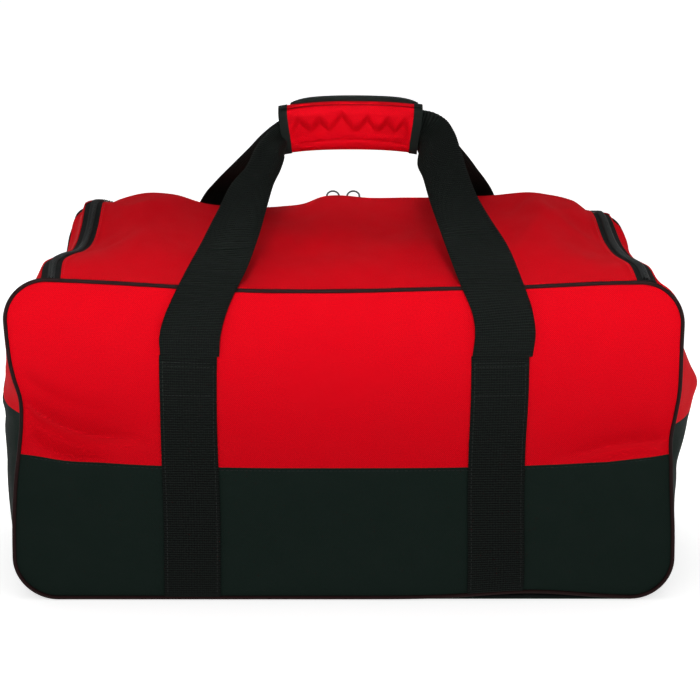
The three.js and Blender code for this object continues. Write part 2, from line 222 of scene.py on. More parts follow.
def woven_material(name, colour, pitch=0.9, grain=0.16, relief=0.12, sheen=0.08, roughness=0.78,
                   gloss=0.07):
    """Plain-woven polyester: fine over-and-under threads, with slubs and a slight nap."""
    graph = Graph(name)
    vector, along, across = graph.cloth_uv()
    threads = graph.math("MULTIPLY", graph.wave(along, 2 * pitch * MM), graph.wave(across, 2 * pitch * MM))
    slubs = graph.noise(vector, 900.0, 4.0)
    blotches = graph.noise(vector, 38.0, 3.0)
    woven = graph.math("MULTIPLY_ADD", threads, 0.2)
    woven.node.inputs[2].default_value = 0.5
    mixed = graph.math("ADD", graph.math("MULTIPLY", slubs, 0.5), graph.math("MULTIPLY", woven, 0.5))
    low, high = shades(colour, grain)
    graph.link(graph.ramp(mixed, [(0.36, low), (0.64, high)]), "Base Color")
    graph.link(graph.ramp(blotches, greys((0.3, roughness - 0.06), (0.7, roughness + 0.06))), "Roughness")
    surface = graph.math("ADD", graph.math("MULTIPLY", threads, 0.6), slubs)
    fine = graph.bump(surface, relief * MM)
    soft = graph.noise(vector, 55.0, 2.0)
    graph.link(graph.bump(soft, 0.35 * MM, fine), "Normal")
    graph.set(Sheen_Weight=sheen, Sheen_Roughness=0.45, Specular_IOR_Level=gloss)
    graph.shader.inputs["Sheen Tint"].default_value = (*(min(1.0, c * 1.5 + 0.08) for c in colour), 1.0)
    return graph.material


def webbing_material(name, colour):
    """Heavy ribbed webbing: ribs across, warp columns along, and a twill over both."""
    graph = Graph(name)
    vector, across, along = graph.cloth_uv()
    ribs = graph.wave(along, RIB * MM)
    columns = graph.wave(across, 1.6 * MM)
    twill = graph.wave(graph.math("ADD", along, across), 1.3 * MM)
    finer = graph.math("ADD", graph.math("MULTIPLY", columns, 0.5), graph.math("MULTIPLY", twill, 0.3))
    weave = graph.math("ADD", ribs, finer)
    fuzz = graph.noise(vector, 700.0, 4.0)
    height = graph.math("ADD", graph.math("MULTIPLY", weave, 0.3), fuzz)
    low, high = shades(colour, 0.95)
    # Base colour: the weave's own tone plus a painted highlight, lighter on the rib crests where the bump
    # is higher.
    weave_tone_and_rib_highlight = graph.math("ADD", graph.math("MULTIPLY", weave, 0.22), fuzz)
    graph.link(graph.ramp(weave_tone_and_rib_highlight, [(0.3, low), (0.8, high)]), "Base Color")
    graph.link(graph.bump(height, 0.3 * MM), "Normal")
    graph.set(Roughness=0.62, Sheen_Weight=0.0, Specular_IOR_Level=0.07)
    return graph.material


def moulded_material(name, colour, roughness, relief=0.05, gloss=0.15):
    """Smooth plastic or cord with fine surface variation."""
    graph = Graph(name)
    vector = graph.cloth_uv()[0]
    speckle = graph.noise(vector, 500.0, 3.0)
    low, high = shades(colour, 0.2)
    graph.link(graph.ramp(speckle, [(0.3, low), (0.7, high)]), "Base Color")
    graph.link(graph.bump(speckle, relief * MM), "Normal")
    graph.set(Roughness=roughness, Specular_IOR_Level=gloss)
    return graph.material


def metal_material(name, colour, roughness):
    """Dark plated metal with brushed and rubbed patches."""
    graph = Graph(name)
    where = graph.tree.nodes.new("ShaderNodeTexCoord").outputs["Object"]
    rubbed = graph.noise(where, 260.0, 5.0)
    low, high = shades(colour, 0.3)
    graph.link(graph.ramp(rubbed, [(0.35, low), (0.7, high)]), "Base Color")
    graph.link(graph.ramp(rubbed, greys((0.3, roughness - 0.08), (0.7, roughness + 0.12))), "Roughness")
    graph.link(graph.bump(graph.noise(where, 900.0), 0.04 * MM), "Normal")
    graph.set(Metallic=1.0)
    return graph.material


def make_materials():
    red = (0.5, 0.0005, 0.0055)
    charcoal = (0.0052, 0.0108, 0.0084)
    black = (0.0034, 0.0052, 0.0042)
    return {
        "red": woven_material("red_polyester", red, grain=0.26, sheen=0.0, gloss=0.04),
        "charcoal": woven_material("charcoal_polyester", charcoal, grain=0.3, sheen=0.0, gloss=0.05),
        "lining": woven_material("coated_inside", (0.045, 0.047, 0.05), pitch=1.1, grain=0.1, sheen=0.0,
                                 roughness=0.5),
        "webbing": webbing_material("black_webbing", black),
        "tape": woven_material("zip_tape", (0.006, 0.007, 0.007), pitch=0.5, grain=0.3, sheen=0.03,
                               roughness=0.8),
        "binding": woven_material("binding_tape", (0.008, 0.011, 0.0095), pitch=0.6, grain=0.3, sheen=0.04),
        "piping": moulded_material("piping_cover", (0.013, 0.004, 0.004), 0.6, gloss=0.08),
        "coil": moulded_material("zip_coil", (0.012, 0.014, 0.014), 0.32, 0.02, 0.4),
        "thread": moulded_material("sewing_thread", (0.012, 0.014, 0.013), 0.6),
        "red_thread": moulded_material("red_thread", (0.5, 0.004, 0.01), 0.6),
        "board": moulded_material("base_board_cover", (0.02, 0.021, 0.022), 0.7, 0.15),
        "metal": metal_material("gunmetal", (0.09, 0.094, 0.1), 0.3),
    }


# ---- Mesh helpers -----------------------------------------------------------------------------
def smooth(value, low=0.0, high=1.0):
    t = np.clip((np.asarray(value, float) - low) / (high - low), 0.0, 1.0)
    return t * t * (3 - 2 * t)


def gauss(value):
    return np.exp(-np.asarray(value, float) ** 2)


def mix(a, b, t):
    return a + (b - a) * t


def profile(*knots):
    """A smooth curve through (place, value) pairs, flat beyond its ends."""
    xs, ys = np.array(knots, float).T
    slopes = np.gradient(ys, xs)

    def at(place):
        x = np.clip(np.asarray(place, float), xs[0], xs[-1])
        i = np.clip(np.searchsorted(xs, x) - 1, 0, len(xs) - 2)
        h = xs[i + 1] - xs[i]
        t = (x - xs[i]) / h
        a, b = ys[i], ys[i + 1]
        ma, mb = slopes[i] * h, slopes[i + 1] * h
        return (a * (1 + 2 * t) + ma * t) * (1 - t) ** 2 + (b * (3 - 2 * t) - mb * (1 - t)) * t ** 2

    return at


def through(points, count):
    """count points evenly along a Catmull-Rom curve through points, which may have any dimension."""
    points = np.asarray(points, float)
    steps = np.linalg.norm(np.diff(points[:, :3], axis=0), axis=1)
    length = np.concatenate([[0], np.cumsum(np.maximum(steps, 1e-6))])
    slopes = np.gradient(points, length, axis=0)
    place = np.linspace(0, length[-1], count)
    i = np.clip(np.searchsorted(length, place) - 1, 0, len(points) - 2)
    h = (length[i + 1] - length[i])[:, None]
    t = (place - length[i])[:, None] / h
    a, b = points[i], points[i + 1]
    ma, mb = slopes[i] * h, slopes[i + 1] * h
    return (a * (1 + 2 * t) + ma * t) * (1 - t) ** 2 + (b * (3 - 2 * t) - mb * (1 - t)) * t ** 2


def grid_normals(points):
    du = np.gradient(points, axis=1)
    dv = np.gradient(points, axis=0)
    normal = np.cross(du, dv)
    return normal / np.maximum(np.linalg.norm(normal, axis=2, keepdims=True), 1e-9)


def make_object(name, vertices, faces, materials, indices=None, uvs=None, sharp=40.0):
    """vertices in millimetres; uvs holds one (u, v) in metres for each vertex."""
    mesh = bpy.data.meshes.new(name)
    mesh.from_pydata((np.asarray(vertices) * MM).tolist(), [], faces)
    for material in materials:
        mesh.materials.append(material)
    if indices is not None:
        mesh.polygons.foreach_set("material_index", np.asarray(indices, dtype=np.int32))
    layer = mesh.uv_layers.new(name="cloth")
    corner = np.empty(len(mesh.loops), dtype=np.int32)
    mesh.loops.foreach_get("vertex_index", corner)
    uvs = np.zeros((len(vertices), 2)) if uvs is None else np.asarray(uvs)
    layer.data.foreach_set("uv", uvs[corner].astype(np.float32).ravel())
    mesh.polygons.foreach_set("use_smooth", np.ones(len(mesh.polygons), dtype=bool))
    mesh.set_sharp_from_angle(angle=math.radians(sharp))
    mesh.validate()
    mesh.update()
    obj = bpy.data.objects.new(name, mesh)
    bpy.context.collection.objects.link(obj)
    return obj


def quads(rows, columns, first=0, flip=False):
    i = np.arange(rows - 1)[:, None] * columns + np.arange(columns - 1)[None, :] + first
    faces = np.stack([i, i + 1, i + columns + 1, i + columns], axis=-1).reshape(-1, 4)
    return faces[:, ::-1] if flip else faces


def rim_faces(rows, columns):
    """Faces that close the edge between an outer grid and the inner grid that follows it."""
    ring = np.concatenate([
        np.arange(columns),
        np.arange(1, rows) * columns + columns - 1,
        (rows - 1) * columns + np.arange(columns - 2, -1, -1),
        np.arange(rows - 2, 0, -1) * columns,
    ])
    after, count = np.roll(ring, -1), rows * columns
    return np.stack([ring, ring + count, after + count, after], axis=-1)


def lengths(points):
    """Distance along a line of points, from its first."""
    return np.concatenate([[0], np.cumsum(np.linalg.norm(np.diff(points, axis=0), axis=1))])


def shell(name, outer, thickness, uv, materials):
    """A sheet with real thickness. outer is its outer face as rows of points, wound so that its
    normal points out; uv holds metres. materials are the outer face's and the inner face's."""
    rows, columns = outer.shape[:2]
    normal = grid_normals(outer)
    inner = outer - normal * thickness
    count = rows * columns
    vertices = np.concatenate([outer.reshape(-1, 3), inner.reshape(-1, 3)])
    front = quads(rows, columns)
    back = quads(rows, columns, count, True)
    faces = np.concatenate([front, back, rim_faces(rows, columns)])
    index = np.zeros(len(faces), int)
    if len(materials) > 1:
        index[len(front):len(front) + len(back)] = 1
    flat = np.asarray(uv).reshape(-1, 2)
    return make_object(name, vertices, faces.tolist(), materials, index, np.concatenate([flat, flat]))


def ring_faces(rings, sides, closed=False):
    """Faces round a run of rings of points, with end caps unless it is closed."""
    faces = []
    for i in range(rings if closed else rings - 1):
        a, b = i * sides, ((i + 1) % rings) * sides
        for j in range(sides):
            k = (j + 1) % sides
            faces.append((a + j, a + k, b + k, b + j))
    if not closed:
        faces.append(tuple(range(sides))[::-1])
        faces.append(tuple((rings - 1) * sides + j for j in range(sides)))
    return faces


def tube(points, radius, sides=10, closed=False, start_up=(0, 0, 1)):
    """Vertices, faces and uvs of a round cord along points, with closed ends."""
    points = np.asarray(points, float)
    if closed:
        tangent = np.roll(points, -1, axis=0) - np.roll(points, 1, axis=0)
    else:
        tangent = np.gradient(points, axis=0)
    tangent /= np.linalg.norm(tangent, axis=1, keepdims=True)
    up = np.cross(tangent[0], np.asarray(start_up, float))
    if np.linalg.norm(up) < 1e-3:
        up = np.cross(tangent[0], (1.0, 0.3, 0.2))
    ups = []
    for t in tangent:
        up = up - t * (up @ t)
        up /= np.linalg.norm(up)
        ups.append(up)
    ups = np.array(ups)
    sideways = np.cross(tangent, ups)
    angle = np.linspace(0, 2 * np.pi, sides, endpoint=False)
    radius = np.broadcast_to(np.asarray(radius, float), (len(points),))
    ring = ups[:, None] * np.cos(angle)[None, :, None] + sideways[:, None] * np.sin(angle)[None, :, None]
    vertices = (points[:, None] + ring * radius[:, None, None]).reshape(-1, 3)
    length = lengths(points)
    uvs = np.stack([
        np.repeat(length, sides) * MM,
        np.tile(angle, len(points)) * np.repeat(radius, sides) * MM,
    ], axis=-1)
    return vertices, ring_faces(len(points), sides, closed), uvs


def place(piece, node, slot, body):
    """Stands in for a CAD node and rides on a body. The slot argument is not used."""
    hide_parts(node)
    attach(piece, body)


def joined(name, parts, material, sharp=40.0):
    """One object from several (vertices, faces, uvs)."""
    vertices, faces, uvs, first = [], [], [], 0
    for v, f, t in parts:
        vertices.append(v)
        uvs.append(t)
        faces.extend(tuple(i + first for i in face) for face in f)
        first += len(v)
    return make_object(name, np.concatenate(vertices), faces, [material], None, np.concatenate(uvs), sharp)


def stitch_parts(points, stitch=3.2, gap=1.0, radius=0.32):
    """Separate sewn stitches along a line of points."""
    points = np.asarray(points, float)
    length = lengths(points)
    parts = []
    start = gap
    while start + stitch < length[-1]:
        place = start + stitch * np.array([0, 0.25, 0.5, 0.75, 1.0])
        line = np.stack([np.interp(place, length, points[:, k]) for k in range(3)], axis=-1)
        parts.append(tube(line, radius * np.array([0.4, 1, 1, 1, 0.4]), 5))
        start += stitch + gap
    return parts


# ---- The body's shape -------------------------------------------------------------------------
# Heights of the top: along its front seam, along the back run of the zip, along the back seam,
# and along the zip's two side runs, which dip where the empty ends sag.
FRONT_TOP = profile(
    (-262, 301.5), (-207, 299), (-167, 296.5), (-94, 292), (-8, 291.2), (92, 293.5), (157, 295),
    (190, 296.5), (232, 298.5), (262, 299),
)
CREST = profile(
    (-272, 304), (-253, 315), (-230, 324), (-205, 329), (-170, 327), (-135, 318), (-100, 314.5),
    (-60, 316), (-38, 318), (-22, 323.5), (-5, 326), (25, 325), (60, 326), (130, 326), (200, 328.5),
    (228, 323), (242, 317.5), (256, 310), (272, 303),
)
BACK_TOP = profile((-262, 303), (-220, 301), (-150, 296), (0, 292), (150, 294), (262, 295))
ZIP_HEIGHT = profile(
    (-262, 314), (-242, 310), (-225, 306.3), (-200, 306), (0, 306), (200, 306), (225, 305.6),
    (262, 302),
)
LEFT_TOP = profile(
    (-150, 300), (-132, 303.5), (-112, 307), (-85, 306), (-45, 300.5), (0, 298.5), (40, 305),
    (75, 314), (95, 317.5), (124, 314), (150, 303),
)
RIGHT_TOP = profile(
    (-150, 299), (-130, 302), (-112, 303.5), (-85, 301.5), (-55, 299), (-20, 299), (40, 303),
    (75, 307), (95, 307.5), (124, 301.5), (150, 294),
)
# How far the zip's side runs stand in from their straight lines.
LEFT_IN = profile((-150, 6), (-110, 4), (-85, 8), (-50, 14), (0, 17), (60, 17), (124, 14), (150, 12))
RIGHT_IN = profile((-150, -3), (-120, -2), (-90, 1), (-60, 5), (-20, 8), (60, 9), (124, 10), (150, 9))
# How far the panels' ends stand in at each height.
FRONT_LEFT_IN = profile(
    (0, 0), (40, -0.5), (72, 0.5), (115, 4), (143, 8), (168, 11), (190, 11), (208, 6), (222, 3.2),
    (240, 1.5), (256, 0.5), (296, 0),
)
FRONT_RIGHT_IN = profile(
    (0, 0), (40, 0), (70, 1), (96, 3), (130, 5), (156, 6), (175, 3), (192, 0.6), (236, 0), (296, 0),
)
BACK_LEFT_IN = profile((0, 0), (120, 2), (180, 6), (230, 12), (262, 19), (280, 19), (296, 9))
BACK_RIGHT_IN = profile((0, 0), (150, 2), (220, 7), (262, 11), (280, 11), (296, 5))

# Creases: (x, other), (x, other), half width, height.
FRONT_CREASES = [
    ((-291, 187), (-194, 158), 5.0, 9.5), ((-292, 204), (-196, 178), 12, -6.0),
    ((-290, 170), (-215, 143), 6, -5.6), ((-288, 152), (-232, 134), 5, 3.4),
    ((296, 152), (205, 141), 5.5, 6.4), ((294, 166), (185, 160), 11, -4.6),
    ((288, 140), (225, 131), 5, 1.8), ((-60, 250), (60, 240), 40, -1.2),
    ((-235, 262), (-175, 215), 26, 1.2), ((230, 235), (180, 280), 28, 1.2),
    ((80, 276), (20, 225), 22, 1.4), ((-90, 262), (-98, 180), 18, -1.2),
]
TOP_CREASES = [
    ((-30, -70), (70, 70), 42, -6.0), ((60, -20), (95, 95), 26, -2.2),
    ((-215, 40), (-150, 92), 16, 2.6), ((-235, -40), (-165, 30), 20, -2.4),
    ((-180, -90), (-60, -20), 26, 2.0), ((150, -80), (190, 70), 13, 3.2),
    ((175, 60), (245, -10), 14, 2.6), ((205, -60), (240, 40), 22, -2.2),
    ((-60, 60), (-10, 100), 18, 1.6), ((110, -110), (160, -30), 20, -1.8),
    ((-120, 20), (-80, 95), 18, -1.8), ((200, 90), (150, 20), 10, -1.6),
]
END_CREASES = [
    ((-146, 222), (50, 158), 11, 5.0), ((-130, 118), (95, 168), 14, -4.5),
    ((128, 246), (0, 196), 13, 4.5), ((-136, 52), (-20, 104), 12, 3.4),
    ((134, 60), (36, 122), 13, 3.6), ((-70, 250), (70, 226), 13, -4.6),
    ((-142, 262), (-40, 232), 10, 3.2), ((140, 176), (62, 160), 9, 3.0),
    ((-90, 30), (80, 44), 13, 2.2),
]


def creases(a, b, lines):
    """Height of soft ridges and hollows, each along a short line."""
    a, b = np.asarray(a, float), np.asarray(b, float)
    total = np.zeros(np.broadcast(a, b).shape)
    for (a0, b0), (a1, b1), width, height in lines:
        da, db = a1 - a0, b1 - b0
        length = math.hypot(da, db)
        along = ((a - a0) * da + (b - b0) * db) / length ** 2
        bow = 0.07 * length * np.sin(np.pi * np.clip(along, 0, 1))
        off = ((a - a0) * db - (b - b0) * da) / length - bow
        ends = smooth(along, -0.25, 0.2) * (1 - smooth(along, 0.7, 1.3))
        total = total + height * gauss(off / width) * ends
    return total


def ripples(a, b, seed, size, height):
    """Gentle unevenness from a few crossed waves."""
    rng = np.random.default_rng(seed)
    total = 0.0
    for _ in range(7):
        angle = rng.uniform(0, 2 * np.pi)
        length = size * rng.uniform(0.6, 1.8)
        phase = rng.uniform(0, 2 * np.pi)
        total = total + np.sin((a * math.cos(angle) + b * math.sin(angle)) * 2 * np.pi / length + phase)
    return total * height / 4.0


def by_side(x, left, right):
    return np.where(np.asarray(x) < 0, left, right)


def top_height(x, y):
    """Height of the top's outer face, from the unslumped x."""
    x, y = np.broadcast_arrays(np.asarray(x, float), np.asarray(y, float))
    t = np.clip((y + FACE_Y) / (CREST_Y + FACE_Y), 0, 1)
    rise = t + 0.1 * np.sin(np.pi * t)
    middle = mix(FRONT_TOP(x), CREST(x), rise)
    side = by_side(x, LEFT_TOP(y), RIGHT_TOP(y))
    near_side = smooth(np.abs(x), mix(188, 232, smooth(y, 0, 80)), 264)
    height = mix(middle, side, near_side)
    crest = mix(CREST(x), side, near_side)
    zip_run = mix(ZIP_HEIGHT(x), side, near_side)
    to_zip = mix(crest, zip_run, smooth(y, CREST_Y, ZIP_Y))
    behind = mix(zip_run, BACK_TOP(x), smooth(y, ZIP_Y, FACE_Y))
    height = np.where(y > CREST_Y, np.where(y > ZIP_Y, behind, to_zip), height)
    height = height - np.maximum(np.abs(x) - 260, 0) ** 2 / 80
    calm = smooth(y, -148, -115) * (1 - smooth(y, 80, 112)) * (1 - smooth(np.abs(x), 225, 262))
    return height + (creases(x, y, TOP_CREASES) + ripples(x, y, 3, 90, 0.7)) * calm


def top_point(x, y, lift=0.0):
    """A point of the top, slumped in towards the middle near the ends."""
    x, y, lift = np.broadcast_arrays(*(np.asarray(v, float) for v in (x, y, lift)))
    inward = by_side(x, LEFT_IN(y), -RIGHT_IN(y)) * smooth(np.abs(x), 150, 262)
    return np.stack([x + inward, y, top_height(x, y) + lift], axis=-1)


def half_width(z, inset):
    radius = CORNER - inset
    into = np.maximum(np.maximum(CORNER - z, z - (HEIGHT - CORNER)), 0)
    return LENGTH / 2 - CORNER + np.sqrt(np.maximum(radius ** 2 - into ** 2, 0))


def shift_face(x, z, face):
    """Moves a point of a flat rounded panel to its slumped place. face is -1 in front."""
    if face < 0:
        inward = by_side(x, FRONT_LEFT_IN(z), -FRONT_RIGHT_IN(z))
        top = FRONT_TOP(x)
    else:
        inward = by_side(x, BACK_LEFT_IN(z), -BACK_RIGHT_IN(z))
        top = BACK_TOP(x)
    out = np.clip(np.abs(x) / 298, 0, 1) ** 4
    rise = (top - HEIGHT) * smooth(z, 120, HEIGHT) ** 1.5
    lift = 6.0 * gauss((x - 170) / 62) * (1 - smooth(z, 0, 70)) if face < 0 else 0.0
    return x + inward * out, z + rise + lift


def bulge(x, z, face):
    """How far a front or back panel stands out from its piping."""
    across = 1 - np.clip(np.abs(x) / 297, 0, 1) ** 3.2
    up = 1 - np.abs(np.clip(2 * z / HEIGHT - 1, -1, 1)) ** 2.8
    crown = 12.0 * across * up
    lines = FRONT_CREASES
    if face > 0:
        lines = [((-a[0], a[1]), (-b[0], b[1]), width, height) for a, b, width, height in FRONT_CREASES]
    calm = smooth(1 - np.abs(x) / 298, 0.0, 0.04) * smooth(1 - np.abs(2 * z / HEIGHT - 1), 0.0, 0.08)
    return crown + (creases(x, z, lines) + ripples(x, z, 5 + face, 120, 0.8)) * calm


def face_point(x, z, face, lift=0.0):
    """A point of the front or back panel's outer face, raised by lift."""
    x, z = np.broadcast_arrays(np.asarray(x, float), np.asarray(z, float))
    px, pz = shift_face(x, z, face)
    return np.stack([px, face * (FACE_Y + bulge(x, z, face) + lift), pz], axis=-1)


def panel_seam(x):
    """Height of the colour seam on the front and back."""
    return 130 + 9.5 * np.clip(np.abs(x) / 295, 0, 1) ** 3


# ---- Panels, ends and top ----------------------------------------------------------------------
def make_panels(m):
    pieces = []
    for name, face in FACES:
        lower, lower_uv = face_rows(face, PANEL_EDGE, None, 64)
        upper, upper_uv = face_rows(face, None, HEIGHT - PANEL_EDGE, 78)
        low = shell(f"{name}_lower_cloth", lower, CLOTH, lower_uv, [m["charcoal"], m["lining"]])
        high = shell(f"{name}_upper_cloth", upper, CLOTH, upper_uv, [m["red"], m["lining"]])
        place(low, f"{name}_panel_lower", "charcoal_fabric", "bag")
        place(high, f"{name}_panel_upper", "red_fabric", "bag")
        pieces += [(low, (0.6, 0.13)), (high, (0.6, 0.17))]


def face_rows(face, low, high, rows, columns=150):
    """A panel between two heights, where None is the colour seam. Rows crowd into the corners."""
    t = np.linspace(0, 1, rows)
    spread = 1 - np.cos(t * np.pi / 2) if high is None else np.sin(t * np.pi / 2)
    v = mix(t, spread, 0.6)[:, None]
    u = -face * np.linspace(-1, 1, columns)[None, :]
    seam = panel_seam(u * 295)
    start = seam if low is None else low
    end = seam if high is None else high
    z = mix(start, end, v) + 0 * u
    x = u * half_width(z, PANEL_EDGE)
    return face_point(x, z, face), np.stack([-face * x * MM, z * MM], axis=-1)


def outline(inset, count=26):
    """The panels' rounded outline as unslumped (x, z), from the middle of the bottom, closed."""
    reach, rise, radius = LENGTH / 2 - CORNER, HEIGHT / 2 - CORNER, CORNER - inset
    points = []
    corners = [(1, -1), (1, 1), (-1, 1), (-1, -1)]
    for index, (sx, sz) in enumerate(corners):
        start = -math.pi / 2 + index * math.pi / 2
        middle = (sx * reach, HEIGHT / 2 + sz * rise)
        for i in range(count + 1):
            a = start + math.pi / 2 * i / count
            points.append((middle[0] + radius * math.cos(a), middle[1] + radius * math.sin(a)))
        after = corners[(index + 1) % 4]
        a = start + math.pi / 2
        begin = points[-1]
        end = (after[0] * reach + radius * math.cos(a), HEIGHT / 2 + after[1] * rise + radius * math.sin(a))
        steps = 60 if index % 2 else 34
        for i in range(1, steps):
            points.append((mix(begin[0], end[0], i / steps), mix(begin[1], end[1], i / steps)))
    return np.array(points)


def piping_path(face):
    flat = outline(PIPING_RADIUS)
    x, z = shift_face(flat[:, 0], flat[:, 1], face)
    return np.stack([x, np.full(len(x), face * (FACE_Y + 0.6)), np.maximum(z, PIPING_RADIUS)], axis=-1)


def make_piping(m):
    for name, face in FACES:
        path = piping_path(face)
        vertices, faces, uvs = tube(path, PIPING_RADIUS, 12, closed=True, start_up=(0, 1, 0))
        piece = make_object(f"{name}_piping_cord", vertices, faces, [m["piping"]], None, uvs)
        place(piece, f"{name}_piping", "piping", "bag")


END_BELLY = profile(
    (0, 0), (30, 0.5), (60, 3.5), (90, 10), (120, 18.5), (150, 26), (172, 28), (195, 23), (224, 11),
    (240, 5), (256, 0), (296, -2),
)


def end_stations():
    """(angle, height) up one end, from the bottom round to the zip."""
    stations = [(-math.pi / 2 + math.pi / 2 * i / 12, None) for i in range(12)]
    stations += [(0.0, z) for z in np.linspace(CORNER, HEIGHT - CORNER - 5, 44)]
    stations += [(SLOPE_END * i / 16, None) for i in range(17)]
    return stations


def end_point(side, angle, height, y):
    """A point of an end's outer face."""
    middle = CORNER if angle < 0 else HEIGHT - CORNER
    z = height if height is not None else middle + CORNER * math.sin(angle)
    x = LENGTH / 2 - CORNER + CORNER * math.cos(angle)
    across = np.abs(y) / FACE_Y
    turned = float(smooth(angle, 0.05, SLOPE_END))
    front_in = FRONT_LEFT_IN(z) if side < 0 else FRONT_RIGHT_IN(z)
    back_in = BACK_LEFT_IN(z) if side < 0 else BACK_RIGHT_IN(z)
    face_in = mix(front_in, back_in, smooth(y, -FACE_Y, FACE_Y))
    top_in = LEFT_IN(y) if side < 0 else RIGHT_IN(y)
    belly = END_BELLY(z) * (1 - across ** 3.4) * (1 - turned)
    folds = creases(side * y, z, END_CREASES) + ripples(y, z + 0 * y, 11 + side, 80, 1.1)
    folds = folds * (1 - across ** 6) * (1 - turned)
    low = smooth(z, 12, 60)
    hollow = math.sin(math.pi * min(max(angle, 0.0) / SLOPE_END, 1.0)) * (1 - across ** 8)
    sunk = 11.0 if side < 0 else 16.0
    out = x - mix(face_in, top_in, turned) + belly + folds * low - sunk * hollow
    top = top_height(side * (ZIP_X + 10), y) - (HEIGHT - CORNER + CORNER * math.sin(SLOPE_END))
    return np.stack([side * out, y, z + top * turned - 5.0 * hollow], axis=-1)


def make_ends(m):
    columns = 90
    y_across = np.linspace(-FACE_Y + 0.5, FACE_Y - 0.5, columns)
    for name, side, seam in END_SEAMS:
        y = side * y_across
        stations = end_stations()
        rows = np.array([end_point(side, a, h, y) for a, h in stations])
        heights = np.array([h if h is not None else (0.0 if a < 0 else 260.0) for a, h in stations])
        split = int(np.searchsorted(heights, seam))
        length = lengths(rows[:, columns // 2])
        uv = np.stack(np.broadcast_arrays(side * y[None, :] * MM, length[:, None] * MM), axis=-1)
        lower, lower_uv = rows[:split + 1], uv[:split + 1]
        low = shell(f"{name}_end_lower_cloth", lower, CLOTH, lower_uv, [m["charcoal"], m["lining"]])
        high = shell(f"{name}_end_upper_cloth", rows[split:], CLOTH, uv[split:], [m["red"], m["lining"]])
        place(low, f"{name}_end_lower", "charcoal_fabric", "bag")
        place(high, f"{name}_end_upper", "red_fabric", "bag")


def make_bottom(m):
    x = np.linspace(-262, 262, 60)[None, :]
    y = np.linspace(FACE_Y - 0.5, -FACE_Y + 0.5, 34)[:, None]
    z = 0.02 + 0 * (x + y)
    outer = np.stack([x + 0 * y, y + 0 * x, z], axis=-1)
    piece = shell("bottom_cloth", outer, CLOTH, outer[..., :2] * MM, [m["charcoal"], m["lining"]])
    place(piece, "bottom_panel", "charcoal_fabric", "bag")


def rounded_slab(half_x, half_y, low, high, corner, lip):
    """A flat board with rounded corners and softened edges, as rings from its underside to its top."""
    angles = np.linspace(0, 2 * np.pi, 72, endpoint=False)
    rings = []
    levels = [(lip, low), (0.0, low + lip), (0.0, high - lip), (lip, high)]
    for inset, z in levels:
        radius = corner - inset
        cx = np.sign(np.cos(angles)) * (half_x - corner)
        cy = np.sign(np.sin(angles)) * (half_y - corner)
        x, y = cx + radius * np.cos(angles), cy + radius * np.sin(angles)
        rings.append(np.stack([x, y, np.full(len(angles), z)], axis=-1))
    return np.array(rings)


def make_board(m):
    low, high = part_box("base_board")
    rings = rounded_slab(high[0] / MM, high[1] / MM, low[2] / MM, high[2] / MM, 18.0, 0.8)
    vertices = rings.reshape(-1, 3)
    faces = ring_faces(*rings.shape[:2])
    piece = make_object("base_board_cover", vertices, faces, [m["board"]], None, vertices[:, :2] * MM)
    place(piece, "base_board", "board", "bag")


# ---- Zip and lid -------------------------------------------------------------------------------
def zip_line(side_steps=90, corner_steps=18, back_steps=150):
    """The zip's unslumped centre line from the front left round the back: (x, y), outward (x, y)."""
    cx, cy = ZIP_X - ZIP_CORNER, ZIP_Y - ZIP_CORNER
    front = -FACE_Y + 1.0
    places, normals = [], []
    for y in np.linspace(front, cy, side_steps, endpoint=False):
        places.append((-ZIP_X, y))
        normals.append((-1.0, 0.0))
    for a in np.linspace(math.pi, math.pi / 2, corner_steps, endpoint=False):
        places.append((-cx + ZIP_CORNER * math.cos(a), cy + ZIP_CORNER * math.sin(a)))
        normals.append((math.cos(a), math.sin(a)))
    for x in np.linspace(-cx, cx, back_steps, endpoint=False):
        places.append((x, ZIP_Y))
        normals.append((0.0, 1.0))
    for a in np.linspace(math.pi / 2, 0, corner_steps, endpoint=False):
        places.append((cx + ZIP_CORNER * math.cos(a), cy + ZIP_CORNER * math.sin(a)))
        normals.append((math.cos(a), math.sin(a)))
    for y in np.linspace(cy, front, side_steps):
        places.append((ZIP_X, y))
        normals.append((1.0, 0.0))
    return np.array(places), np.array(normals)


def zip_strip(offsets, lifts):
    """A strip along the zip through the given offsets and lifts, as rows of points."""
    place, normal = zip_line()
    rows = []
    for offset, lift in zip(offsets, lifts):
        flat = place + normal * offset
        rows.append(top_point(flat[:, 0], flat[:, 1], lift))
    rows = np.array(rows)
    along = lengths(rows[0])
    uv = np.stack(np.broadcast_arrays(along[None, :] * MM, np.array(offsets)[:, None] * MM), axis=-1)
    return rows, uv


def teeth_parts(sign):
    """One half of the coil: a row of small hooked turns. sign is -1 on the lid and 1 on the body."""
    place, normal = zip_line(300, 60, 500)
    slumped = top_point(place[:, 0], place[:, 1])
    along = lengths(slumped)
    shift = 0.0 if sign < 0 else COIL_PITCH / 2
    spots = np.arange(1.0 + shift, along[-1] - 1.0, COIL_PITCH)
    reach = np.array([2.9, 2.6, 1.5, 0.2, -0.5])
    height = np.array([0.2, 1.6, 2.2, 1.9, 1.2])
    parts = []
    for s in spots:
        x, y = (np.interp(s, along, place[:, k]) for k in range(2))
        nx, ny = (np.interp(s, along, normal[:, k]) for k in range(2))
        line = top_point(x + nx * sign * reach, y + ny * sign * reach, height - 0.2)
        parts.append(tube(line, 0.55, 5))
    return parts


